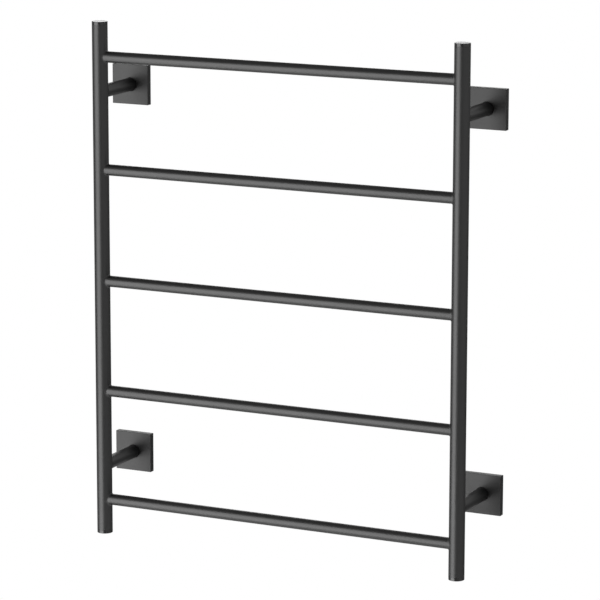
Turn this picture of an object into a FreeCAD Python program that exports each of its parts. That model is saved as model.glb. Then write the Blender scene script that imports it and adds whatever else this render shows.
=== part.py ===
import FreeCAD, Part
import os
from math import cos, pi, sin, sqrt

from FreeCAD import Vector

# A wall-hung electric towel warmer: a ladder of five round rungs between two
# round posts, carried off the wall by four stand-offs. A heating cable is
# threaded through the tubes, and a square cover on each stand-off hides its
# wall flange and slides forward along the stand-off to reach the screws.
#
# Frame, in millimetres: the origin is in the wall plane, midway between the
# four fixings. +X is to the right as seen from the room, +Y goes into the
# wall and +Z is up. A side is -1 for left and +1 for right, and a level is
# +1 for upper and -1 for lower.

SIDES = {"left": -1, "right": 1}
LEVELS = {"upper": 1, "lower": -1}
CORNERS = [(f"{level}_{side}", SIDES[side], LEVELS[level]) for level in LEVELS for side in SIDES]
WIRED_CORNER = "lower_right"
INTO_WALL = Vector(0, 1, 0)

# Ladder
post_length = 740.0
post_diameter = 22.2
post_wall = 1.2
post_spacing = 550.0            # between the post axes
rung_diameter = 16.0
rung_wall = 1.0
rung_pitch = 160.0
rung_count = 5
cap_rim = 5.0                   # the part of an end cap that shows
cap_crown = 0.5                 # how far its face is domed
cap_spigot = 9.0
cap_shell = 1.5
cap_edge = 0.8
seam_break = 0.25               # bevel on both lips of the seam under a cap

# Stand-offs and wall fixings
fixing_pitch = 540.0            # between the upper and lower stand-offs
wall_distance = 96.0            # from the post axes to the wall
stub_diameter = 19.0
stub_wall = 3.0
flange_side = 50.0
flange_thickness = 3.0
spigot_length = 18.0
grub_groove_depth = 0.6         # in the spigot
wall_screw_hole = 5.0
wall_screw_offset = 17.5        # from the stand-off axis, to each side
grub_diameter = 5.0
grub_socket = 2.5               # across the flats of its hexagon
grub_socket_share = 0.6         # of the grub screw's length
grub_from_wall = 15.0
slip = 0.1                      # radial gap between parts that are pushed together

# Covers
cover_side = 57.0
cover_depth = 9.0
cover_wall = 1.5
cover_edge = 0.5
collar_wall = 2.7
collar_to_flange = 0.6
cover_clearance = 0.3           # radial gap between a cover's bore and its stub
ring_section = 1.8
ring_drag_gap = 0.05            # radial gap between a ring and its stub

# Heating circuit
cable_diameter = 4.0
cable_bend = 20.0
cable_end_from_wall = 60.0
cable_end_from_post = 50.0
joint_sleeve_length = 38.0
joint_sleeve_lap = 6.0
joint_sleeve_diameter = 9.0
joint_sleeve_wall = 1.0
ferrule_length = 9.0
ferrule_diameter = 2.4
ferrule_wall = 0.4
fuse_length = 11.0
fuse_diameter = 3.2
fuse_edge = 0.4
joint_lane = 1.7                # from the stand-off's axis to the cores beside it
joint_start = 1.0               # from the cable's cut end to the first ferrules
joint_gap = 0.25                # between a ferrule and the fuse
end_seal_length = 22.0
end_seal_diameter = 7.0
end_seal_closed = 4.0
grommet_length = 4.0
grommet_diameter = 10.6
grommet_bore = 6.6
lead_way = 8.0                  # bore through the wired flange's spigot

# Earth terminal
earth_screw_diameter = 4.0
earth_screw_head = 7.0
earth_screw_head_height = 2.4
earth_screw_slot = 1.0
earth_washer_diameter = 8.4
earth_washer_thickness = 0.7
earth_terminal_height = 17.5    # above the stand-off axis

# Worked out from the sizes above
post_bore = post_diameter - 2 * post_wall
rung_bore = rung_diameter - 2 * rung_wall
rung_heights = [rung_pitch * (rung_count - 1) / 2 - rung_pitch * k for k in range(rung_count)]
stub_bore = stub_diameter - 2 * stub_wall
spigot_diameter = stub_bore - 2 * slip
grub_groove_radius = spigot_diameter / 2 - grub_groove_depth
cover_bore = stub_diameter + 2 * cover_clearance
ring_radius = stub_diameter / 2 + ring_drag_gap + ring_section / 2
collar_back = flange_thickness + collar_to_flange
ring_from_wall = (cover_depth - cover_wall + collar_back) / 2
same_place = 0.01               # closer than this, two measures are the same


def rod(diameter, start, end):
    """A solid round bar from one point to another."""
    axis = end - start
    return Part.makeCylinder(diameter / 2, axis.Length, start, axis)


def tube(diameter, wall, start, end):
    """A round tube from one point to another."""
    return rod(diameter, start, end).cut(rod(diameter - 2 * wall, start, end))


def arc(centre, start, end):
    """The shorter round edge from start to end about a centre."""
    reach = start - centre
    middle = centre + (reach + (end - centre)).normalize() * reach.Length
    return Part.Arc(start, middle, end).toShape()


def slab(width, height, thickness, front_centre):
    """A rectangular plate upright in front of the wall, given the middle of its front face."""
    corner = front_centre - Vector(width / 2, 0, height / 2)
    return Part.makeBox(width, thickness, height, corner)


def circles_at(shape, radius, height):
    """The round edges of one radius that lie level at one height."""
    found = []
    for edge in shape.Edges:
        if not isinstance(edge.Curve, Part.Circle):
            continue
        if max(abs(edge.Curve.Radius - radius), abs(edge.Curve.Center.z - height)) < same_place:
            found.append(edge)
    return found


def on_post(side, z):
    """A point on a post's axis."""
    return Vector(side * post_spacing / 2, -wall_distance, z)


def on_stub(side, level, from_wall):
    """A point on a stand-off's axis, this far out from the wall."""
    return Vector(side * post_spacing / 2, -from_wall, level * fixing_pitch / 2)


def make_post(side):
    """Upright: a tube drilled at every rung and stand-off, so that the cable passes through."""
    half = post_length / 2 - cap_rim
    post = tube(post_diameter, post_wall, on_post(side, -half), on_post(side, half))
    for end in (-half, half):
        post = post.makeChamfer(seam_break, circles_at(post, post_diameter / 2, end))
    for z in rung_heights:
        centre = on_post(side, z)
        post = post.cut(rod(rung_bore, centre, centre - Vector(side * post_diameter, 0, 0)))
    for level in LEVELS.values():
        centre = on_stub(side, level, wall_distance)
        post = post.cut(rod(stub_bore, centre, centre + INTO_WALL * post_diameter))
    return post


def post_envelope(side):
    """The solid cylinder that a post fills, used to shape what is welded to it."""
    return rod(post_diameter, on_post(side, -post_length / 2), on_post(side, post_length / 2))


def make_rung(z):
    """Rung: a thin tube whose ends are cut to the round of the posts."""
    rung = tube(rung_diameter, rung_wall, on_post(-1, z), on_post(1, z))
    for side in SIDES.values():
        rung = rung.cut(post_envelope(side))
    return rung


def make_cap(side, level):
    """End cap: a turned lid flush with the post, slightly domed, with a hollow spigot pressed in."""
    top = on_post(side, level * post_length / 2)

    def at(from_axis, depth):
        return top + Vector(from_axis, 0, -level * depth)

    radius = post_diameter / 2
    spigot = (post_bore - slip) / 2
    crown_radius = (radius ** 2 + cap_crown ** 2) / (2 * cap_crown)
    crown_centre = at(0, crown_radius)
    edge_drop = sqrt((crown_radius - cap_edge) ** 2 - (radius - cap_edge) ** 2)
    edge_centre = at(radius - cap_edge, crown_radius - edge_drop)
    crown_end = crown_centre + (edge_centre - crown_centre).normalize() * crown_radius
    side_start = edge_centre + Vector(cap_edge, 0, 0)
    foot = cap_rim + cap_spigot
    outline = [side_start, at(radius, cap_rim - seam_break), at(radius - seam_break, cap_rim),
               at(spigot, cap_rim), at(spigot, foot), at(spigot - cap_shell, foot),
               at(spigot - cap_shell, cap_rim), at(0, cap_rim), top]
    edges = [Part.makeLine(*ends) for ends in zip(outline, outline[1:])]
    edges += [arc(crown_centre, top, crown_end), arc(edge_centre, crown_end, side_start)]
    return Part.Face(Part.Wire(edges)).revolve(top, Vector(0, 0, 1), 360)


def make_stub(side, level):
    """Stand-off: a thick tube welded to the post's back and tapped underneath for a grub screw."""
    stub = tube(stub_diameter, stub_wall, on_stub(side, level, wall_distance),
                on_stub(side, level, flange_thickness))
    stub = stub.cut(post_envelope(side))
    grub_place = on_stub(side, level, grub_from_wall)
    return stub.cut(rod(grub_diameter, grub_place, grub_place - Vector(0, 0, stub_diameter)))


def make_flange(side, level, wired):
    """Wall flange: a square plate with two screw holes and a grooved spigot for the stand-off."""
    face = on_stub(side, level, flange_thickness)
    nose = on_stub(side, level, flange_thickness + spigot_length)
    wall = on_stub(side, level, 0)
    flange = slab(flange_side, flange_side, flange_thickness, face).fuse(rod(spigot_diameter, face, nose))
    groove_front = on_stub(side, level, grub_from_wall + grub_diameter / 2)
    groove_back = on_stub(side, level, grub_from_wall - grub_diameter / 2)
    groove = tube(spigot_diameter + slip, grub_groove_depth + slip / 2, groove_front, groove_back)
    flange = flange.cut(groove)
    for offset in (-wall_screw_offset, wall_screw_offset):
        hole_shift = Vector(offset, 0, 0)
        flange = flange.cut(rod(wall_screw_hole, face + hole_shift, wall + hole_shift))
    if wired:
        flange = flange.cut(rod(lead_way, nose, wall))
        flange = flange.cut(rod(grommet_diameter, on_stub(side, level, grommet_length), wall))
        terminal_shift = Vector(0, 0, earth_terminal_height)
        flange = flange.cut(rod(earth_screw_diameter, face + terminal_shift, wall + terminal_shift))
    return flange


def hexagon(across_flats, start, end):
    """A six-sided bar from one point to another, for a key socket; it stands on end."""
    reach = across_flats / (2 * cos(pi / 6))
    points = [start + Vector(reach * cos(k * pi / 3), reach * sin(k * pi / 3), 0) for k in range(7)]
    return Part.Face(Part.makePolygon(points)).extrude(end - start)


def make_grub_screw(side, level):
    """Grub screw: sunk in the stub's underside, its tip in the spigot's groove."""
    centre = on_stub(side, level, grub_from_wall)
    head = centre - Vector(0, 0, stub_diameter / 2 - 2 * slip)
    tip = centre - Vector(0, 0, grub_groove_radius + slip)
    socket_end = head + (tip - head) * grub_socket_share
    screw = rod(grub_diameter - slip, head, tip)
    return screw.cut(hexagon(grub_socket, head, socket_end))


def make_cover(side, level):
    """Cover: a square pan, open at the wall, with a collar that slides on the stand-off."""
    front = on_stub(side, level, cover_depth)
    inside = on_stub(side, level, cover_depth - cover_wall)
    cover = slab(cover_side, cover_side, cover_depth, front)
    outer_edges = [edge for edge in cover.Edges if edge.CenterOfMass.y < -same_place]
    cover = cover.makeFillet(cover_edge, outer_edges)
    room = cover_side - 2 * cover_wall
    cover = cover.cut(slab(room, room, cover_depth, inside))
    collar_end = on_stub(side, level, collar_back)
    cover = cover.fuse(rod(cover_bore + 2 * collar_wall, inside, collar_end))
    cover = cover.cut(rod(cover_bore, front, collar_end))
    groove_half = ring_section / 2 + slip
    groove = rod(2 * ring_radius + ring_section + slip,
                 on_stub(side, level, ring_from_wall + groove_half),
                 on_stub(side, level, ring_from_wall - groove_half))
    return cover.cut(groove)


def make_cover_ring(side, level):
    """Rubber ring in the cover's collar: it grips the stand-off and holds the cover in place."""
    return Part.makeTorus(ring_radius, ring_section / 2, on_stub(side, level, ring_from_wall), INTO_WALL)


def right_angle_path(corners, radius):
    """A wire through corners that are all right angles, each rounded to one radius."""
    edges = []
    here = corners[0]
    for before, corner, after in zip(corners, corners[1:], corners[2:]):
        arc_start = corner + (before - corner).normalize() * radius
        arc_end = corner + (after - corner).normalize() * radius
        edges.append(Part.makeLine(here, arc_start))
        edges.append(arc(arc_start + arc_end - corner, arc_start, arc_end))
        here = arc_end
    edges.append(Part.makeLine(here, corners[-1]))
    return Part.Wire(edges)


def heating_corners():
    """The heating cable's corners: in by the wired stand-off, then rung by rung to the top."""
    side, level = SIDES["right"], LEVELS["lower"]
    corners = [on_stub(side, level, cable_end_from_wall), on_stub(side, level, wall_distance)]
    for z in reversed(rung_heights):
        corners.append(on_post(side, z))
        corners.append(on_post(-side, z))
        side = -side
    corners[-1] = corners[-1] - Vector(side * cable_end_from_post, 0, 0)
    return corners


def make_heating_cable():
    """Heating cable: a silicone-sheathed resistance pair, bent into every tube of the ladder."""
    corners = heating_corners()
    path = right_angle_path(corners, cable_bend)
    start_way = corners[1] - corners[0]
    section = Part.Wire([Part.makeCircle(cable_diameter / 2, corners[0], start_way)])
    cable = path.makePipeShell([section], True, False)
    expected = pi * cable_diameter ** 2 / 4 * path.Length
    print(f"heating cable: {path.Length:.0f} mm long, bends of {cable_bend:.0f} mm,",
          f"volume {cable.Volume:.0f} against {expected:.0f} mm3")
    return cable


def make_joint_sleeve():
    """Silicone sleeve over the cold joint, where the supply lead's cores meet the cable."""
    side, level = SIDES["right"], LEVELS["lower"]
    front = cable_end_from_wall + joint_sleeve_lap
    back = front - joint_sleeve_length
    sleeve = rod(joint_sleeve_diameter, on_stub(side, level, front), on_stub(side, level, back))
    sleeve = sleeve.cut(rod(cable_diameter, on_stub(side, level, front), on_stub(side, level, back)))
    room = joint_sleeve_diameter - 2 * joint_sleeve_wall
    return sleeve.cut(rod(room, on_stub(side, level, cable_end_from_wall), on_stub(side, level, back)))


def in_joint(lane, from_cable, length, maker):
    """One small part of the cold joint, in the left or right lane inside the sleeve."""
    stub_axis = on_stub(SIDES["right"], LEVELS["lower"], cable_end_from_wall - from_cable)
    start = stub_axis + Vector(lane * joint_lane, 0, 0)
    return maker(start, start + INTO_WALL * length)


def make_ferrules():
    """Crimp ferrules that join the cores: one in each lane, and one beyond the thermal fuse."""
    def ferrule(start, end):
        return tube(ferrule_diameter, ferrule_wall, start, end)
    beyond_fuse = joint_start + ferrule_length + fuse_length + 2 * joint_gap
    return Part.makeCompound([
        in_joint(-1, joint_start, ferrule_length, ferrule),
        in_joint(1, joint_start, ferrule_length, ferrule),
        in_joint(1, beyond_fuse, ferrule_length, ferrule),
    ])


def make_thermal_fuse():
    """Thermal fuse: a small sealed capsule in the live lane, between its two ferrules."""
    def capsule(start, end):
        body = rod(fuse_diameter, start, end)
        rims = [edge for edge in body.Edges if isinstance(edge.Curve, Part.Circle)]
        return body.makeChamfer(fuse_edge, rims)
    return in_joint(1, joint_start + ferrule_length + joint_gap, fuse_length, capsule)


def make_end_seal():
    """Silicone seal moulded over the cable's far end."""
    end = heating_corners()[-1]
    outward = (end - heating_corners()[-2]).normalize()
    closed_end = end + outward * end_seal_closed
    open_end = closed_end - outward * end_seal_length
    return rod(end_seal_diameter, open_end, closed_end).cut(rod(cable_diameter, open_end, end))


def make_grommet():
    """Rubber grommet in the back of the wired flange, where the supply lead enters."""
    side, level = SIDES["right"], LEVELS["lower"]
    wall_thickness = (grommet_diameter - grommet_bore) / 2
    front = on_stub(side, level, grommet_length)
    return tube(grommet_diameter, wall_thickness, front, on_stub(side, level, 0))


def earth_point(from_wall):
    """A point on the earth screw's axis."""
    return on_stub(SIDES["right"], LEVELS["lower"], from_wall) + Vector(0, 0, earth_terminal_height)


def make_earth_washer():
    """Serrated washer under the earth screw's head."""
    wall_thickness = (earth_washer_diameter - earth_screw_diameter) / 2 - slip
    front = earth_point(flange_thickness + earth_washer_thickness)
    return tube(earth_washer_diameter, wall_thickness, front, earth_point(flange_thickness))


def make_earth_screw():
    """Slotted pan-head screw that clamps the supply lead's earth core to the wired flange."""
    seat = flange_thickness + earth_washer_thickness
    top = seat + earth_screw_head_height
    shank = rod(earth_screw_diameter - slip, earth_point(seat), earth_point(0))
    head = rod(earth_screw_head, earth_point(top), earth_point(seat))
    slot = slab(earth_screw_head, earth_screw_slot, earth_screw_head_height / 2, earth_point(top))
    return head.fuse(shank).cut(slot)


def build_nodes():
    """Every sub-part of the towel warmer, by its name."""
    nodes = {}
    for name, side in SIDES.items():
        nodes[f"{name}_post"] = make_post(side)
    for number, z in enumerate(rung_heights, start=1):
        nodes[f"rung_{number}"] = make_rung(z)
    for corner, side, level in CORNERS:
        nodes[f"{corner}_cap"] = make_cap(side, level)
        nodes[f"{corner}_stand_off"] = make_stub(side, level)
        nodes[f"{corner}_flange"] = make_flange(side, level, corner == WIRED_CORNER)
        nodes[f"{corner}_cover"] = make_cover(side, level)
        nodes[f"{corner}_cover_ring"] = make_cover_ring(side, level)
    nodes["grub_screws"] = Part.makeCompound([make_grub_screw(side, level) for _, side, level in CORNERS])
    nodes["heating_cable"] = make_heating_cable()
    nodes["joint_sleeve"] = make_joint_sleeve()
    nodes["crimp_ferrules"] = make_ferrules()
    nodes["thermal_fuse"] = make_thermal_fuse()
    nodes["end_seal"] = make_end_seal()
    nodes["lead_grommet"] = make_grommet()
    nodes["earth_washer"] = make_earth_washer()
    nodes["earth_screw"] = make_earth_screw()
    return nodes


os.makedirs("parts", exist_ok=True)
for node, shape in build_nodes().items():
    shape.exportStep(f"parts/{node}.step")
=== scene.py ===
from math import atan2, cos, floor, pi, radians, sin, sqrt

import bmesh
import bpy
from mathutils import Matrix, Vector


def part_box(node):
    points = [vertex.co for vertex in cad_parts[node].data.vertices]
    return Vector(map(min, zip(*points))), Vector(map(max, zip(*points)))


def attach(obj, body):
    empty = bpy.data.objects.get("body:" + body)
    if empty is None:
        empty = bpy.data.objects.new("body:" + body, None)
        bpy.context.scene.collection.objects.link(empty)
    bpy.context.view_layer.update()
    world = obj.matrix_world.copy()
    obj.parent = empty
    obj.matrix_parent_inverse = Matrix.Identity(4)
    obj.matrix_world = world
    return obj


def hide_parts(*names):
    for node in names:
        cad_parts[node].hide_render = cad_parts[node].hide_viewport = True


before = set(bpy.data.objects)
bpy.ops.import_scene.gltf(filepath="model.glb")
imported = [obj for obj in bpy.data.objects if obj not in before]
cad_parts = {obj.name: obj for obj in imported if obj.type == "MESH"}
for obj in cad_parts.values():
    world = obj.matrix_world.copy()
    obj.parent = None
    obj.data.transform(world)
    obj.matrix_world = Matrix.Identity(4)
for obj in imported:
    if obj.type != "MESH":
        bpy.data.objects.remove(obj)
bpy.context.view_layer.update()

# Camera: a long lens, a little above the rail's middle and off to its right, aimed at the plane
# of the posts. The rail is small in a long lens, so its tubes stay nearly parallel.
MM = 0.001
CAMERA_AZIMUTH = radians(25.63)
CAMERA_ELEVATION = radians(11.60)
CAMERA_ROLL = radians(0.10)
CAMERA_DISTANCE = 4.467
CAMERA_LENS = 194.2
AIM_TO_THE_RIGHT = 36.4 * MM
AIM_BELOW_MIDDLE = 0.2 * MM


def middle_of(node):
    """The middle of a CAD node's box."""
    low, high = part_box(node)
    return (low + high) / 2


def half_of(node):
    """Half the size of a CAD node's box, along X, Y and Z."""
    low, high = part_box(node)
    return (high - low) / 2


def direction_from(azimuth, elevation):
    """A unit vector from the object towards an azimuth, counted from the front, and an elevation."""
    return Vector((sin(azimuth) * cos(elevation), -cos(azimuth) * cos(elevation), sin(elevation)))


post_plane_y = middle_of("left_post").y
camera_aim = Vector((AIM_TO_THE_RIGHT, post_plane_y, -AIM_BELOW_MIDDLE))
camera_way = direction_from(CAMERA_AZIMUTH, CAMERA_ELEVATION)
camera_data = bpy.data.cameras.new("camera")
camera_data.lens = CAMERA_LENS
camera = bpy.data.objects.new("camera", camera_data)
camera.rotation_euler = (-camera_way).to_track_quat("-Z", "Y").to_euler()
camera.rotation_euler.rotate_axis("Z", CAMERA_ROLL)
camera.location = camera_aim + camera_way * CAMERA_DISTANCE
bpy.context.collection.objects.link(camera)
bpy.context.scene.camera = camera

# Studio: a pale round floor well below the rail, a wide soft panel and a low one on the front left,
# weak ones right and behind, and a far strip that the caps' tops catch. The room is dim, and plain
# white to the camera.
FLOOR_HEIGHT = -1.6
FLOOR_RADIUS = 2.4
FLOOR_COLOUR = "#e6e6e6"
FLOOR_ROUGHNESS = 0.9
ROOM_BRIGHTNESS = 0.13
WHITE = (1, 1, 1, 1)
STEPS_ROUND = 96                # sides that stand for a full circle, here and on the turned pieces


def linear(colour):
    """A hexadecimal sRGB colour as linear red, green, blue and alpha."""
    parts = [int(colour[i:i + 2], 16) / 255 for i in (1, 3, 5)]
    return [c / 12.92 if c <= 0.04045 else ((c + 0.055) / 1.055) ** 2.4 for c in parts] + [1.0]


def add_node(tree, kind, settings=None, links=None):
    """Adds a shader node. settings are its properties or input values, links its inputs' sources."""
    node = tree.nodes.new(kind)
    for name, value in (settings or {}).items():
        if hasattr(node, name):
            setattr(node, name, value)
        else:
            node.inputs[name].default_value = value
    for name, source in (links or {}).items():
        tree.links.new(source, node.inputs[name])
    return node


def new_material(name):
    """An empty node material and its tree."""
    material = bpy.data.materials.new(name)
    material.use_nodes = True
    material.node_tree.nodes.clear()
    return material, material.node_tree


def soft_panel(name, azimuth, elevation, distance, width, height, radiance, shows_in_gloss=True):
    """A flat soft light that faces the rail and that the camera doesn't see. Its place is in degrees
    and metres from the middle of the ladder."""
    light = bpy.data.lights.new(name, "AREA")
    light.shape = "RECTANGLE"
    light.size = width
    light.size_y = height
    light.energy = radiance * pi * width * height
    panel = bpy.data.objects.new(name, light)
    way = direction_from(radians(azimuth), radians(elevation))
    panel.location = Vector((0, post_plane_y, 0)) + way * distance
    panel.rotation_euler = way.to_track_quat("Z", "Y").to_euler()
    panel.visible_camera = False
    panel.visible_glossy = shows_in_gloss
    bpy.context.collection.objects.link(panel)


# name, azimuth, elevation, distance, width, height, radiance
soft_panel("front_left_panel", -33, -1, 3.0, 3.3, 3.0, 1.27)
soft_panel("low_front_panel", -38, -43, 2.2, 2.6, 1.3, 0.85)
soft_panel("right_panel", 80, 4, 3.0, 6.0, 3.0, 0.14)
soft_panel("back_right_panel", 148, 30, 3.0, 2.8, 3.0, 0.30)
soft_panel("back_left_panel", -128, 0, 3.0, 3.0, 3.0, 0.26)
soft_panel("back_strip", 205.6, 15, 6.0, 2.4, 1.2, 1.9)
soft_panel("floor_light", 0, 88, 3.0, 2.5, 2.5, 3.0, shows_in_gloss=False)

world = bpy.data.worlds.new("studio")
world.use_nodes = True
world.node_tree.nodes.clear()
ray = add_node(world.node_tree, "ShaderNodeLightPath")
room = add_node(world.node_tree, "ShaderNodeBackground", {"Color": WHITE, "Strength": ROOM_BRIGHTNESS})
backdrop = add_node(world.node_tree, "ShaderNodeBackground", {"Color": WHITE, "Strength": 1.0})
seen = add_node(world.node_tree, "ShaderNodeMixShader",
                links={0: ray.outputs["Is Camera Ray"], 1: room.outputs[0], 2: backdrop.outputs[0]})
add_node(world.node_tree, "ShaderNodeOutputWorld", links={"Surface": seen.outputs[0]})
bpy.context.scene.world = world
bpy.context.scene.view_settings.view_transform = "Standard"

floor_shape = bmesh.new()
bmesh.ops.create_circle(floor_shape, cap_ends=True, radius=FLOOR_RADIUS, segments=STEPS_ROUND)
bmesh.ops.translate(floor_shape, vec=(0, post_plane_y, FLOOR_HEIGHT), verts=floor_shape.verts)
floor_mesh = bpy.data.meshes.new("floor")
floor_shape.to_mesh(floor_mesh)
floor_shape.free()
ground = bpy.data.objects.new("floor", floor_mesh)
bpy.context.collection.objects.link(ground)
floor_paint, floor_tree = new_material("matt_pale_floor_paint")
floor_surface = add_node(floor_tree, "ShaderNodeBsdfPrincipled",
                         {"Base Color": linear(FLOOR_COLOUR), "Roughness": FLOOR_ROUGHNESS})
add_node(floor_tree, "ShaderNodeOutputMaterial", links={"Surface": floor_surface.outputs[0]})
floor_mesh.materials.append(floor_paint)

# Posts: two stainless tubes, rolled and seam-welded, drilled where rungs and stand-offs meet them
# so that the heating cable passes through. Brushed round and round on a belt, then coated.
POST_WALL = 1.2 * MM
POST_LIP = 0.25 * MM
RUNG_WALL = 1.0 * MM
STUB_WALL = 3.0 * MM
SIDES = {"left": -1, "right": 1}
LEVELS = {"upper": 1, "lower": -1}
RUNGS = [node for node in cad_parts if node.startswith("rung_")]
SHARP = radians(40)             # edges that turn more than this stay crisp, or are rounded
WELD_TOGETHER = 1e-6            # corners nearer than this are one
NOISE_SPAN = {"From Min": 0.3, "From Max": 0.7}      # what a noise's values mostly lie between
RELIEF_DEPTH = 0.1 * MM         # full depth of a surface grain, before its strength thins it

post_radius = half_of("left_post").x
post_x = {side: middle_of(f"{side}_post").x for side in SIDES}
stub_radius = half_of("upper_left_stand_off").x
stub_height = {level: middle_of(f"{level}_left_stand_off").z for level in LEVELS}
rung_radius = half_of("rung_1").z
rung_height = {rung: middle_of(rung).z for rung in RUNGS}


def lathe(outline, start, way, closed=True):
    """A turned solid. outline is (radius, distance along the axis), and its axis runs from start."""
    shape = bmesh.new()
    points = [shape.verts.new((radius, 0, along)) for radius, along in outline]
    edges = [shape.edges.new(pair) for pair in zip(points, points[1:])]
    if closed:
        edges.append(shape.edges.new((points[-1], points[0])))
    bmesh.ops.spin(shape, geom=points + edges, cent=(0, 0, 0), axis=(0, 0, 1), angle=2 * pi,
                   steps=STEPS_ROUND, use_merge=True)
    bmesh.ops.remove_doubles(shape, verts=shape.verts, dist=WELD_TOGETHER)
    bmesh.ops.recalc_face_normals(shape, faces=shape.faces)
    turn = Vector((0, 0, 1)).rotation_difference(way).to_matrix().to_4x4()
    bmesh.ops.transform(shape, matrix=Matrix.Translation(start) @ turn, verts=shape.verts)
    return shape


def round_edges(shape, width, segments, wanted):
    """Rounds the sharp edges whose middle passes a test."""
    edges = [e for e in shape.edges if e.is_manifold and e.calc_face_angle() > SHARP
             and wanted((e.verts[0].co + e.verts[1].co) / 2)]
    bmesh.ops.bevel(shape, geom=edges, offset=width, segments=segments, profile=0.5, affect="EDGES",
                    material=-1, clamp_overlap=True)
    return shape


def rod(radius, start, end):
    """A solid bar from one point to another."""
    length = (end - start).length
    outline = [(0, 0), (radius, 0), (radius, length), (0, length)]
    return lathe(outline, start, (end - start).normalized(), closed=False)


def combined(shape, others, operation):
    """shape after joining or cutting away other shapes; all of them are used up."""
    objects = []
    for part in [shape, *others]:
        mesh = bpy.data.meshes.new("workpiece")
        part.to_mesh(mesh)
        part.free()
        objects.append(bpy.data.objects.new("workpiece", mesh))
        bpy.context.collection.objects.link(objects[-1])
    for other in objects[1:]:
        step = objects[0].modifiers.new("step", "BOOLEAN")
        step.object = other
        step.operation = operation
        step.solver = "EXACT"
    result = bmesh.new()
    result.from_object(objects[0], bpy.context.evaluated_depsgraph_get())
    for used in objects:
        bpy.data.meshes.remove(used.data)
    bmesh.ops.remove_doubles(result, verts=result.verts, dist=WELD_TOGETHER)
    return result


def finished(name, shape, material, body, stands_for):
    """Makes a piece of a shape: smooth where it is round, crisp where it is sharp, riding on its body."""
    for face in shape.faces:
        face.smooth = True
    for edge in shape.edges:
        edge.smooth = not (edge.is_manifold and edge.calc_face_angle() > SHARP)
    mesh = bpy.data.meshes.new(name)
    shape.to_mesh(mesh)
    shape.free()
    mesh.materials.append(material)
    piece = bpy.data.objects.new(name, mesh)
    bpy.context.collection.objects.link(piece)
    shading = piece.modifiers.new("even_shading", "WEIGHTED_NORMAL")
    shading.keep_sharp = True
    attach(piece, body)
    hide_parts(*stands_for)
    return piece


def coated_steel(name, brush_way, dark, pale, rough):
    """Brushed stainless steel under a thin dark vapour coating. brush_way is the axis, as 0, 1 or 2
    for X, Y or Z, that the brush lines run across: lines are thin along it and long the other ways.
    It looks near black with wide soft highlights, and a fine grain shows only close to."""
    material, tree = new_material(name)
    line_pitch = 0.35           # mm between brush lines; real ones are nearer 0.1 mm, too fine to show
    line_length = 25.0          # mm
    cloud = 90.0                # mm, size of the faint uneven patches that polishing leaves
    line_change = 0.035         # of the roughness, from line to line
    cloud_change = 0.02
    lines_per_metre = [1000 / line_length] * 3
    lines_per_metre[brush_way] = 1000 / line_pitch
    place = add_node(tree, "ShaderNodeTexCoord")
    along = add_node(tree, "ShaderNodeMapping", {"Scale": lines_per_metre},
                     {"Vector": place.outputs["Object"]})
    lines = add_node(tree, "ShaderNodeTexNoise", {"Scale": 1.0, "Detail": 2.0},
                     {"Vector": along.outputs[0]})
    clouds = add_node(tree, "ShaderNodeTexNoise", {"Scale": 1000 / cloud, "Detail": 3.0},
                      {"Vector": place.outputs["Object"]})
    line_gloss = add_node(tree, "ShaderNodeMapRange",
                          {**NOISE_SPAN, "To Min": -line_change, "To Max": line_change},
                          {"Value": lines.outputs["Fac"]})
    cloud_gloss = add_node(tree, "ShaderNodeMapRange",
                           {**NOISE_SPAN, "To Min": rough - cloud_change, "To Max": rough + cloud_change},
                           {"Value": clouds.outputs["Fac"]})
    gloss = add_node(tree, "ShaderNodeMath", {"operation": "ADD"},
                     {0: line_gloss.outputs[0], 1: cloud_gloss.outputs[0]})
    tint = add_node(tree, "ShaderNodeMix", {"data_type": "RGBA"}, {"Factor": lines.outputs["Fac"]})
    tint.inputs["A"].default_value = linear(dark)
    tint.inputs["B"].default_value = linear(pale)
    relief = add_node(tree, "ShaderNodeBump", {"Strength": 0.05, "Distance": RELIEF_DEPTH},
                      {"Height": lines.outputs["Fac"]})
    metal = add_node(tree, "ShaderNodeBsdfPrincipled", {"Metallic": 1.0},
                     {"Base Color": tint.outputs["Result"], "Roughness": gloss.outputs[0],
                      "Normal": relief.outputs[0]})
    add_node(tree, "ShaderNodeOutputMaterial", links={"Surface": metal.outputs[0]})
    return material


upright_steel = coated_steel("coated_steel_brushed_round_posts", 2, "#696969", "#6f6f6f", 0.41)

for side, sign in SIDES.items():
    low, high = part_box(f"{side}_post")
    foot = Vector((post_x[side], post_plane_y, low.z))
    length = high.z - low.z
    tube = lathe([(post_radius, 0), (post_radius, length), (post_radius - POST_WALL, length),
                  (post_radius - POST_WALL, 0)], foot, Vector((0, 0, 1)))
    round_edges(tube, POST_LIP, 2, lambda middle: True)
    drills = []
    for rung in RUNGS:
        centre = Vector((post_x[side], post_plane_y, rung_height[rung]))
        drills.append(rod(rung_radius - RUNG_WALL, centre, centre - Vector((sign * 2 * post_radius, 0, 0))))
    for level in LEVELS:
        centre = Vector((post_x[side], post_plane_y, stub_height[level]))
        drills.append(rod(stub_radius - STUB_WALL, centre, centre + Vector((0, 2 * post_radius, 0))))
    tube = combined(tube, drills, "DIFFERENCE")
    finished(f"{side}_post_tube", tube, upright_steel, "frame", [f"{side}_post"])

# End caps: turned lids with a low crown and a hollow spigot, pressed into both ends of each post and
# coated. They are smoother than the brushed tubes, so their tops catch the light behind the rail.
CAP_EDGE = 0.35 * MM
CAP_CROWN = 0.25 * MM
CAP_CROWN_STEPS = 8
CAP_SHELL = 1.5 * MM
PUSH_FIT = 0.1 * MM
CORNERS = [(level, side) for level in LEVELS for side in SIDES]

cap_steel = coated_steel("coated_steel_turned_end_caps", 2, "#6b6b6b", "#717171", 0.25)

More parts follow.
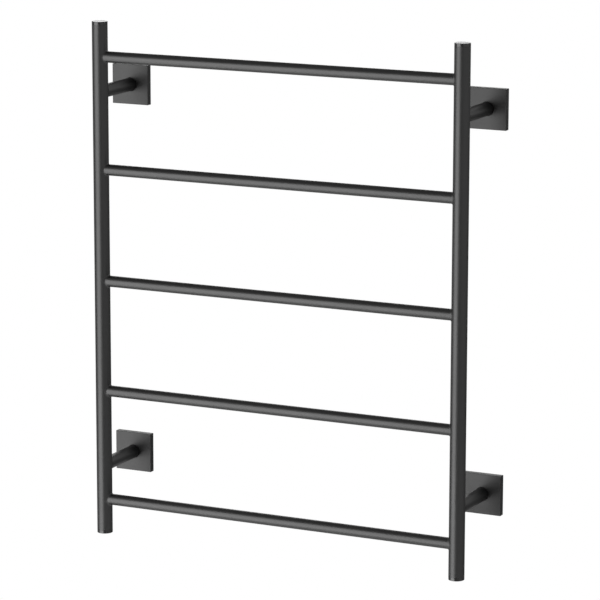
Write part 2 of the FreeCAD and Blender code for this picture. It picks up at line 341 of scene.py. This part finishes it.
for level, side in CORNERS:
    low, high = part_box(f"{level}_{side}_cap")
    post_low, post_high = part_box(f"{side}_post")
    up = LEVELS[level]
    if up > 0:
        foot_z, seam, top = low.z, post_high.z - low.z, high.z - low.z
    else:
        foot_z, seam, top = high.z, high.z - post_low.z, high.z - low.z
    foot = Vector((post_x[side], post_plane_y, foot_z))
    spigot = post_radius - POST_WALL - PUSH_FIT / 2
    crown_radius = (post_radius ** 2 + CAP_CROWN ** 2) / (2 * CAP_CROWN)
    reaches = [post_radius * k / CAP_CROWN_STEPS for k in range(CAP_CROWN_STEPS, -1, -1)]
    crown = [(reach, top - crown_radius + sqrt(crown_radius ** 2 - reach ** 2)) for reach in reaches]
    plug = [(0, seam), (spigot - CAP_SHELL, seam), (spigot - CAP_SHELL, 0), (spigot, 0), (spigot, seam),
            (post_radius, seam)]
    cap = lathe(plug + crown, foot, Vector((0, 0, up)), closed=False)
    shoulder = foot.z + up * (seam + top) / 2
    round_edges(cap, CAP_EDGE, 4, lambda middle: (middle.z - shoulder) * up > 0)
    round_edges(cap, POST_LIP, 2, lambda middle: (middle.z - shoulder) * up < 0)
    finished(f"{level}_{side}_end_cap", cap, cap_steel, "frame", [f"{level}_{side}_cap"])

# Rungs: thin stainless tubes, their ends cut to the round of the posts and welded all round. The
# welds are ground down to a small hollow fillet before the ladder is brushed and coated.
WELD = 2.0 * MM
WELD_STEPS = 7
WELD_REACH = 0.9                # of the post's radius, as far round the post as a weld goes

rung_steel = coated_steel("coated_steel_brushed_round_rungs", 0, "#6b6b6b", "#717171", 0.40)


def weld_fillet(radius, post_at, towards):
    """Outline points of the hollow fillet at a tube's end; towards is 1 as it nears the post."""
    turns = [pi / 2 * k / (WELD_STEPS - 1) for k in range(WELD_STEPS)]
    points = [(radius + WELD * (1 - sin(turn)), post_at - towards * WELD * (1 - cos(turn)))
              for turn in turns]
    return points[::-towards]


def welded(offset):
    """An offset from the post's crest, kept to where the weld ends."""
    reach = WELD_REACH * post_radius
    return max(-reach, min(reach, offset))


def saddle_depth(offset):
    """How far a post's surface falls away beside its crest, at an offset from the crest."""
    return post_radius - sqrt(post_radius ** 2 - offset ** 2)


for rung in RUNGS:
    start = Vector((post_x["left"] + post_radius, post_plane_y, rung_height[rung]))
    length = post_x["right"] - post_radius - start.x
    bore = rung_radius - RUNG_WALL
    outside = weld_fillet(rung_radius, 0, -1) + weld_fillet(rung_radius, length, 1)
    tube = lathe(outside + [(bore, length), (bore, 0)], start, Vector((1, 0, 0)))
    for vertex in tube.verts:
        outward = 1 if vertex.co.x > start.x + length / 2 else -1
        vertex.co.y = post_plane_y + welded(vertex.co.y - post_plane_y)
        vertex.co.x += outward * saddle_depth(vertex.co.y - post_plane_y)
    finished(f"{rung}_tube", tube, rung_steel, "frame", [rung])

# Stand-offs: thick stainless tubes that carry the ladder off the wall, cut to the round of the post
# and welded to its back. A tapped hole underneath, near the wall, takes a grub screw.
STUB_LIP = 0.3 * MM
GRUB_HOLE = 2.5 * MM

stub_steel = coated_steel("coated_steel_brushed_round_stand_offs", 1, "#666666", "#6c6c6c", 0.42)
grub_y = middle_of("grub_screws").y

for level, side in CORNERS:
    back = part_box(f"{level}_{side}_stand_off")[1].y
    axis = Vector((post_x[side], 0, stub_height[level]))
    start = axis + Vector((0, back, 0))
    length = back - (post_plane_y + post_radius)
    bore = stub_radius - STUB_WALL
    outside = [(stub_radius, 0)] + weld_fillet(stub_radius, length, 1)
    tube = lathe(outside + [(bore, length), (bore, 0)], start, Vector((0, -1, 0)))
    for vertex in tube.verts:
        if vertex.co.y < back - length / 2:
            vertex.co.x = axis.x + welded(vertex.co.x - axis.x)
            vertex.co.y -= saddle_depth(vertex.co.x - axis.x)
    round_edges(tube, STUB_LIP, 2, lambda middle: middle.y > back - length / 2)
    grub_axis = axis + Vector((0, grub_y, 0))
    grub_drill = rod(GRUB_HOLE, grub_axis, grub_axis - Vector((0, 0, 2 * stub_radius)))
    tube = combined(tube, [grub_drill], "DIFFERENCE")
    finished(f"{level}_{side}_stand_off_tube", tube, stub_steel, "frame", [f"{level}_{side}_stand_off"])

# Covers: square pans pressed from stainless sheet, with a turned collar behind the front. Each slides
# on its stand-off, and sits flat on the wall over the screws.
COVER_WALL = 1.5 * MM
COVER_EDGE = 0.5 * MM
COVER_BORE = 0.3 * MM           # gap round the stand-off
COLLAR_WALL = 2.7 * MM
COLLAR_TO_FLANGE = 0.6 * MM
MOUTH = 0.25 * MM
CUT_PAST = 1.0 * MM             # how far a cutter runs past the faces it goes through

# The covers' coating is painted about a quarter darker than the posts' coating. This is painted shade from
# the posts and stand-offs in front of them.
cover_steel_with_painted_shade = coated_steel("coated_steel_brushed_covers_painted_shade", 2, "#5c5c5c", "#626262", 0.42)


def box_shape(low, high):
    """A rectangular block between two corners."""
    shape = bmesh.new()
    bmesh.ops.create_cube(shape, size=1)
    bmesh.ops.scale(shape, vec=high - low, verts=shape.verts)
    bmesh.ops.translate(shape, vec=(low + high) / 2, verts=shape.verts)
    return shape


def drill(radius, flare, start, end):
    """A cutter for a round hole right through, whose mouth at start is broken by a small chamfer."""
    length = (end - start).length
    outline = [(0, -CUT_PAST), (radius + flare, -CUT_PAST), (radius + flare, 0), (radius, flare),
               (radius, length + CUT_PAST), (0, length + CUT_PAST)]
    return lathe(outline, start, (end - start).normalized(), closed=False)


for level, side in CORNERS:
    low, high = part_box(f"{level}_{side}_cover")
    ring_low, ring_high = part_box(f"{level}_{side}_cover_ring")
    flange_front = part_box(f"{level}_{side}_stand_off")[1].y
    axis = Vector((post_x[side], 0, stub_height[level]))
    into_wall = Vector((0, 1, 0))
    cover = box_shape(low, high)
    back = max(cover.faces, key=lambda face: face.calc_center_median().y)
    bmesh.ops.inset_region(cover, faces=[back], thickness=COVER_WALL, use_even_offset=True)
    room = bmesh.ops.extrude_discrete_faces(cover, faces=[back])["faces"]
    bmesh.ops.translate(cover, vec=(0, low.y + COVER_WALL - high.y, 0), verts=room[0].verts)
    outer = (high.x - low.x) / 2 - COVER_WALL / 2
    round_edges(cover, COVER_EDGE, 3, lambda middle: middle.y < high.y - COVER_EDGE
                and max(abs(middle.x - axis.x), abs(middle.z - axis.z)) > outer)
    collar_front = low.y + COVER_WALL / 2
    collar_length = flange_front - COLLAR_TO_FLANGE - collar_front
    bore = stub_radius + COVER_BORE
    groove = (ring_high.x - ring_low.x) / 2 + PUSH_FIT / 2
    groove_front = ring_low.y - PUSH_FIT - collar_front
    groove_back = ring_high.y + PUSH_FIT - collar_front
    collar = lathe([(bore, 0), (bore, groove_front), (groove, groove_front), (groove, groove_back),
                    (bore, groove_back), (bore, collar_length), (bore + COLLAR_WALL, collar_length),
                    (bore + COLLAR_WALL, 0)], axis + into_wall * collar_front, into_wall)
    front_hole = drill(bore, MOUTH, axis + into_wall * low.y, axis + into_wall * (low.y + COVER_WALL))
    cover = combined(cover, [front_hole], "DIFFERENCE")
    cover = combined(cover, [collar], "UNION")
    finished(f"{level}_{side}_cover_pan", cover, cover_steel_with_painted_shade, f"{level}_{side}_cover",
             [f"{level}_{side}_cover"])

# Wall flanges: square plates cut from plain stainless sheet, each with two screw holes and a turned,
# grooved spigot welded on. The wired one is bored for the supply lead and tapped for the earth screw.
FLANGE_CORNER = 1.5 * MM
FLANGE_EDGE = 0.2 * MM
SCREW_HOLE = 2.5 * MM
SCREW_OFFSET = 17.5 * MM
SCREW_MOUTH = 0.3 * MM
GROOVE_DEPTH = 0.6 * MM
SPIGOT_ROOT = 0.4 * MM          # how deep the spigot is sunk in the plate
SPIGOT_EDGE = 0.4 * MM
LEAD_WAY = 4.0 * MM
EARTH_HOLE = 2.0 * MM
WIRED = ("lower", "right")


def plain_steel(name, line_way):
    """Uncoated stainless steel, rolled or turned: pale grey, half bright, with fine tool lines. line_way
    is the axis, as 0, 1 or 2, that the lines run across."""
    material, tree = new_material(name)
    line_pitch = 0.3            # mm; real tool lines are nearer 0.05 mm, too fine to show
    line_length = 12.0          # mm
    lines_per_metre = [1000 / line_length] * 3
    lines_per_metre[line_way] = 1000 / line_pitch
    place = add_node(tree, "ShaderNodeTexCoord")
    along = add_node(tree, "ShaderNodeMapping", {"Scale": lines_per_metre},
                     {"Vector": place.outputs["Object"]})
    lines = add_node(tree, "ShaderNodeTexNoise", {"Scale": 1.0, "Detail": 3.0},
                     {"Vector": along.outputs[0]})
    gloss = add_node(tree, "ShaderNodeMapRange", {**NOISE_SPAN, "To Min": 0.28, "To Max": 0.42},
                     {"Value": lines.outputs["Fac"]})
    tint = add_node(tree, "ShaderNodeMix", {"data_type": "RGBA"}, {"Factor": lines.outputs["Fac"]})
    tint.inputs["A"].default_value = linear("#b4b2ad")
    tint.inputs["B"].default_value = linear("#c6c4bf")
    relief = add_node(tree, "ShaderNodeBump", {"Strength": 0.12, "Distance": RELIEF_DEPTH},
                      {"Height": lines.outputs["Fac"]})
    metal = add_node(tree, "ShaderNodeBsdfPrincipled", {"Metallic": 1.0},
                     {"Base Color": tint.outputs["Result"], "Roughness": gloss.outputs[0],
                      "Normal": relief.outputs[0]})
    add_node(tree, "ShaderNodeOutputMaterial", links={"Surface": metal.outputs[0]})
    return material


flange_steel = plain_steel("plain_rolled_stainless_steel", 2)
turned_steel = plain_steel("plain_turned_stainless_steel", 1)
grommet_low, grommet_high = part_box("lead_grommet")
grommet_radius = half_of("lead_grommet").x
earth_low, earth_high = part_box("earth_screw")
earth_axis = Vector((middle_of("earth_screw").x, 0, middle_of("earth_screw").z))

for level, side in CORNERS:
    low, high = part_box(f"{level}_{side}_flange")
    axis = Vector((post_x[side], 0, stub_height[level]))
    into_wall = Vector((0, 1, 0))
    face_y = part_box(f"{level}_{side}_stand_off")[1].y
    face = axis + into_wall * face_y
    wall = axis + into_wall * high.y
    nose = axis + into_wall * low.y
    plate = box_shape(Vector((low.x, face_y, low.z)), high)
    round_edges(plate, FLANGE_CORNER, 5, lambda middle: abs(middle.y - (face_y + high.y) / 2) < FLANGE_EDGE)
    round_edges(plate, FLANGE_EDGE, 2, lambda middle: True)
    spigot = stub_radius - STUB_WALL - PUSH_FIT
    length = face_y - low.y + SPIGOT_ROOT
    groove = spigot - GROOVE_DEPTH
    groove_middle = face_y - grub_y + SPIGOT_ROOT
    groove_start, groove_end = groove_middle - GRUB_HOLE, groove_middle + GRUB_HOLE
    outline = [(0, 0), (spigot, 0), (spigot, groove_start), (groove, groove_start), (groove, groove_end),
               (spigot, groove_end), (spigot, length), (0, length)]
    spigot_shape = lathe(outline, face + into_wall * SPIGOT_ROOT, -into_wall, closed=False)
    round_edges(spigot_shape, SPIGOT_EDGE, 2, lambda middle: middle.y < low.y + FLANGE_EDGE)
    flange = combined(plate, [spigot_shape], "UNION")
    holes = []
    for offset in (-SCREW_OFFSET, SCREW_OFFSET):
        shift = Vector((offset, 0, 0))
        holes.append(drill(SCREW_HOLE, SCREW_MOUTH, face + shift, wall + shift))
    if (level, side) == WIRED:
        past = into_wall * CUT_PAST
        holes.append(drill(LEAD_WAY, SCREW_MOUTH, nose, wall))
        holes.append(rod(grommet_radius, axis + into_wall * grommet_low.y, wall + past))
        earth_face, earth_wall = earth_axis + into_wall * face_y, earth_axis + into_wall * high.y
        holes.append(rod(EARTH_HOLE, earth_face - past, earth_wall + past))
    flange = combined(flange, holes, "DIFFERENCE")
    finished(f"{level}_{side}_wall_flange", flange, flange_steel, "frame", [f"{level}_{side}_flange"])

# Grub screws: short plain steel screws with a hexagon socket, one under each stand-off. Each is turned
# tight into the groove of its spigot and locks the stand-off on the flange.
GRUB_SOCKET = 2.5 * MM          # across the flats
GRUB_SOCKET_SHARE = 0.6         # how much of the screw's length the socket takes
GRUB_CHAMFER = 0.3 * MM


def gathered(shapes):
    """Several separate shapes in one mesh."""
    result = bmesh.new()
    for shape in shapes:
        mesh = bpy.data.meshes.new("gathered")
        shape.to_mesh(mesh)
        shape.free()
        result.from_mesh(mesh)
        bpy.data.meshes.remove(mesh)
    return result


grub_radius = half_of("grub_screws").y
head_depth = stub_height["lower"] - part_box("grub_screws")[0].z
groove_bottom = stub_radius - STUB_WALL - PUSH_FIT - GROOVE_DEPTH
length = head_depth - groove_bottom - PUSH_FIT
socket_radius = GRUB_SOCKET / sqrt(3)
grub_screws = []
for level, side in CORNERS:
    head = Vector((post_x[side], grub_y, stub_height[level] - head_depth))
    screw = rod(grub_radius, head, head + Vector((0, 0, length)))
    round_edges(screw, GRUB_CHAMFER, 1, lambda middle: True)
    socket = bmesh.new()
    bmesh.ops.create_cone(socket, cap_ends=True, segments=6, radius1=socket_radius, radius2=socket_radius,
                          depth=2 * GRUB_SOCKET_SHARE * length)
    bmesh.ops.translate(socket, vec=head, verts=socket.verts)
    grub_screws.append(combined(screw, [socket], "DIFFERENCE"))
finished("grub_screw_set", gathered(grub_screws), turned_steel, "frame", ["grub_screws"])

# Earth terminal: a slotted pan-head screw and a toothed washer on the wired flange, under its cover,
# where the supply lead's earth core is clamped to bare metal.
TEETH = 12
TOOTH_DEPTH = 0.35 * MM
HEAD_ROUND = 0.8 * MM
SLOT_WIDTH = 1.0 * MM
SLOT_REACH = 1.1                # of the head's radius, so that the slot's cutter leaves it at both ends

washer_low, washer_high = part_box("earth_washer")
washer_radius = half_of("earth_washer").x
washer_start = earth_axis + Vector((0, washer_high.y, 0))
washer_thickness = washer_high.y - washer_low.y
washer = lathe([(EARTH_HOLE + PUSH_FIT, 0), (washer_radius, 0), (washer_radius, washer_thickness),
                (EARTH_HOLE + PUSH_FIT, washer_thickness)], washer_start, Vector((0, -1, 0)))
for vertex in washer.verts:
    spoke = Vector((vertex.co.x - earth_axis.x, 0, vertex.co.z - earth_axis.z))
    turn = atan2(spoke.z, spoke.x) + pi / STEPS_ROUND
    if spoke.length > (washer_radius + EARTH_HOLE) / 2 and floor(turn * TEETH / pi) % 2:
        vertex.co -= spoke.normalized() * TOOTH_DEPTH
finished("earth_toothed_washer", washer, turned_steel, "frame", ["earth_washer"])

head_radius = half_of("earth_screw").x
shank_radius = EARTH_HOLE - PUSH_FIT / 2
shank_length = earth_high.y - washer_low.y
screw_length = earth_high.y - earth_low.y
outline = [(0, 0), (shank_radius, 0), (shank_radius, shank_length), (head_radius, shank_length),
           (head_radius, screw_length), (0, screw_length)]
screw = lathe(outline, earth_axis + Vector((0, earth_high.y, 0)), Vector((0, -1, 0)), closed=False)
round_edges(screw, HEAD_ROUND, 4, lambda middle: middle.y < earth_low.y + PUSH_FIT)
slot_half = Vector((head_radius * SLOT_REACH, (screw_length - shank_length) / 2, SLOT_WIDTH / 2))
slot_centre = earth_axis + Vector((0, earth_low.y, 0))
screw = combined(screw, [box_shape(slot_centre - slot_half, slot_centre + slot_half)], "DIFFERENCE")
finished("earth_slotted_screw", screw, turned_steel, "frame", ["earth_screw"])

# Rubber parts: a grommet in the back of the wired flange, where the supply lead comes in, and a ring
# in each cover's collar that grips the stand-off. Both are moulded black rubber, dull and a bit grainy.
GROMMET_BORE = 3.3 * MM
GROMMET_LIP = 0.5 * MM


def moulded_rubber(name, colour, rough):
    """Moulded rubber or silicone: an even colour, a soft dull sheen and a very fine grain, with painted
    shade in its hollows.
    """
    material, tree = new_material(name)
    grain = 0.25                # mm; a mould's blasted grain is nearer 0.05 mm, too fine to show
    gloss_change = 0.08         # of the roughness, from grain to grain
    hollow_painted_shade = 0.85                # of the colour, as painted shade in the hollows of the grain
    place = add_node(tree, "ShaderNodeTexCoord")
    speckle = add_node(tree, "ShaderNodeTexNoise", {"Scale": 1000 / grain, "Detail": 2.0},
                       {"Vector": place.outputs["Object"]})
    gloss = add_node(tree, "ShaderNodeMapRange",
                     {"To Min": rough - gloss_change, "To Max": rough + gloss_change},
                     {"Value": speckle.outputs["Fac"]})
    # Painted shade: the colour darkens where the grain's bump is low, in its hollows.
    tint = add_node(tree, "ShaderNodeMix", {"data_type": "RGBA"}, {"Factor": speckle.outputs["Fac"]})
    tint.inputs["A"].default_value = [c * hollow_painted_shade for c in linear(colour)[:3]] + [1.0]
    tint.inputs["B"].default_value = linear(colour)
    relief = add_node(tree, "ShaderNodeBump", {"Strength": 0.2, "Distance": RELIEF_DEPTH},
                      {"Height": speckle.outputs["Fac"]})
    surface = add_node(tree, "ShaderNodeBsdfPrincipled", {"IOR": 1.45},
                       {"Base Color": tint.outputs["Result"], "Roughness": gloss.outputs[0],
                        "Normal": relief.outputs[0]})
    add_node(tree, "ShaderNodeOutputMaterial", links={"Surface": surface.outputs[0]})
    return material


def dress(node, material):
    """Gives a CAD node its finish."""
    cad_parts[node].data.materials.clear()
    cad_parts[node].data.materials.append(material)


black_rubber = moulded_rubber("moulded_black_rubber", "#1b1b1b", 0.62)
grommet_length = grommet_high.y - grommet_low.y
outline = [(GROMMET_BORE, 0), (grommet_radius, 0), (grommet_radius, grommet_length),
           (GROMMET_BORE, grommet_length)]
grommet_back = Vector((post_x["right"], grommet_high.y, stub_height["lower"]))
grommet = lathe(outline, grommet_back, Vector((0, -1, 0)))
round_edges(grommet, GROMMET_LIP, 3, lambda middle: True)
finished("lead_inlet_grommet", grommet, black_rubber, "frame", ["lead_grommet"])
for level, side in CORNERS:
    dress(f"{level}_{side}_cover_ring", black_rubber)

# Heating circuit, sealed in the tubes: a silicone-sheathed heating cable with a moulded end seal, and
# a cold joint of tinned ferrules and a thermal fuse in a silicone sleeve.
cable_silicone = moulded_rubber("extruded_red_brown_silicone", "#8f3d28", 0.45)
sleeve_silicone = moulded_rubber("moulded_grey_silicone", "#77746e", 0.5)


def tinned_brass(name):
    """Brass under bright tin plating: pale, slightly warm, with faint drawn streaks."""
    material, tree = new_material(name)
    streak = 0.4                # mm between streaks; real ones are nearer 0.05 mm, too fine to show
    streak_length = 10.0        # mm
    place = add_node(tree, "ShaderNodeTexCoord")
    across = 1000 / streak
    along = add_node(tree, "ShaderNodeMapping", {"Scale": (across, 1000 / streak_length, across)},
                     {"Vector": place.outputs["Object"]})
    streaks = add_node(tree, "ShaderNodeTexNoise", {"Scale": 1.0, "Detail": 2.0},
                       {"Vector": along.outputs[0]})
    gloss = add_node(tree, "ShaderNodeMapRange", {"To Min": 0.18, "To Max": 0.32},
                     {"Value": streaks.outputs["Fac"]})
    tint = add_node(tree, "ShaderNodeMix", {"data_type": "RGBA"}, {"Factor": streaks.outputs["Fac"]})
    tint.inputs["A"].default_value = linear("#c4c0b4")
    tint.inputs["B"].default_value = linear("#d6d3ca")
    metal = add_node(tree, "ShaderNodeBsdfPrincipled", {"Metallic": 1.0},
                     {"Base Color": tint.outputs["Result"], "Roughness": gloss.outputs[0]})
    add_node(tree, "ShaderNodeOutputMaterial", links={"Surface": metal.outputs[0]})
    return material


bright_tin = tinned_brass("tin_plated_drawn_brass")
dress("heating_cable", cable_silicone)
dress("end_seal", sleeve_silicone)
dress("joint_sleeve", sleeve_silicone)
dress("crimp_ferrules", bright_tin)
dress("thermal_fuse", bright_tin)
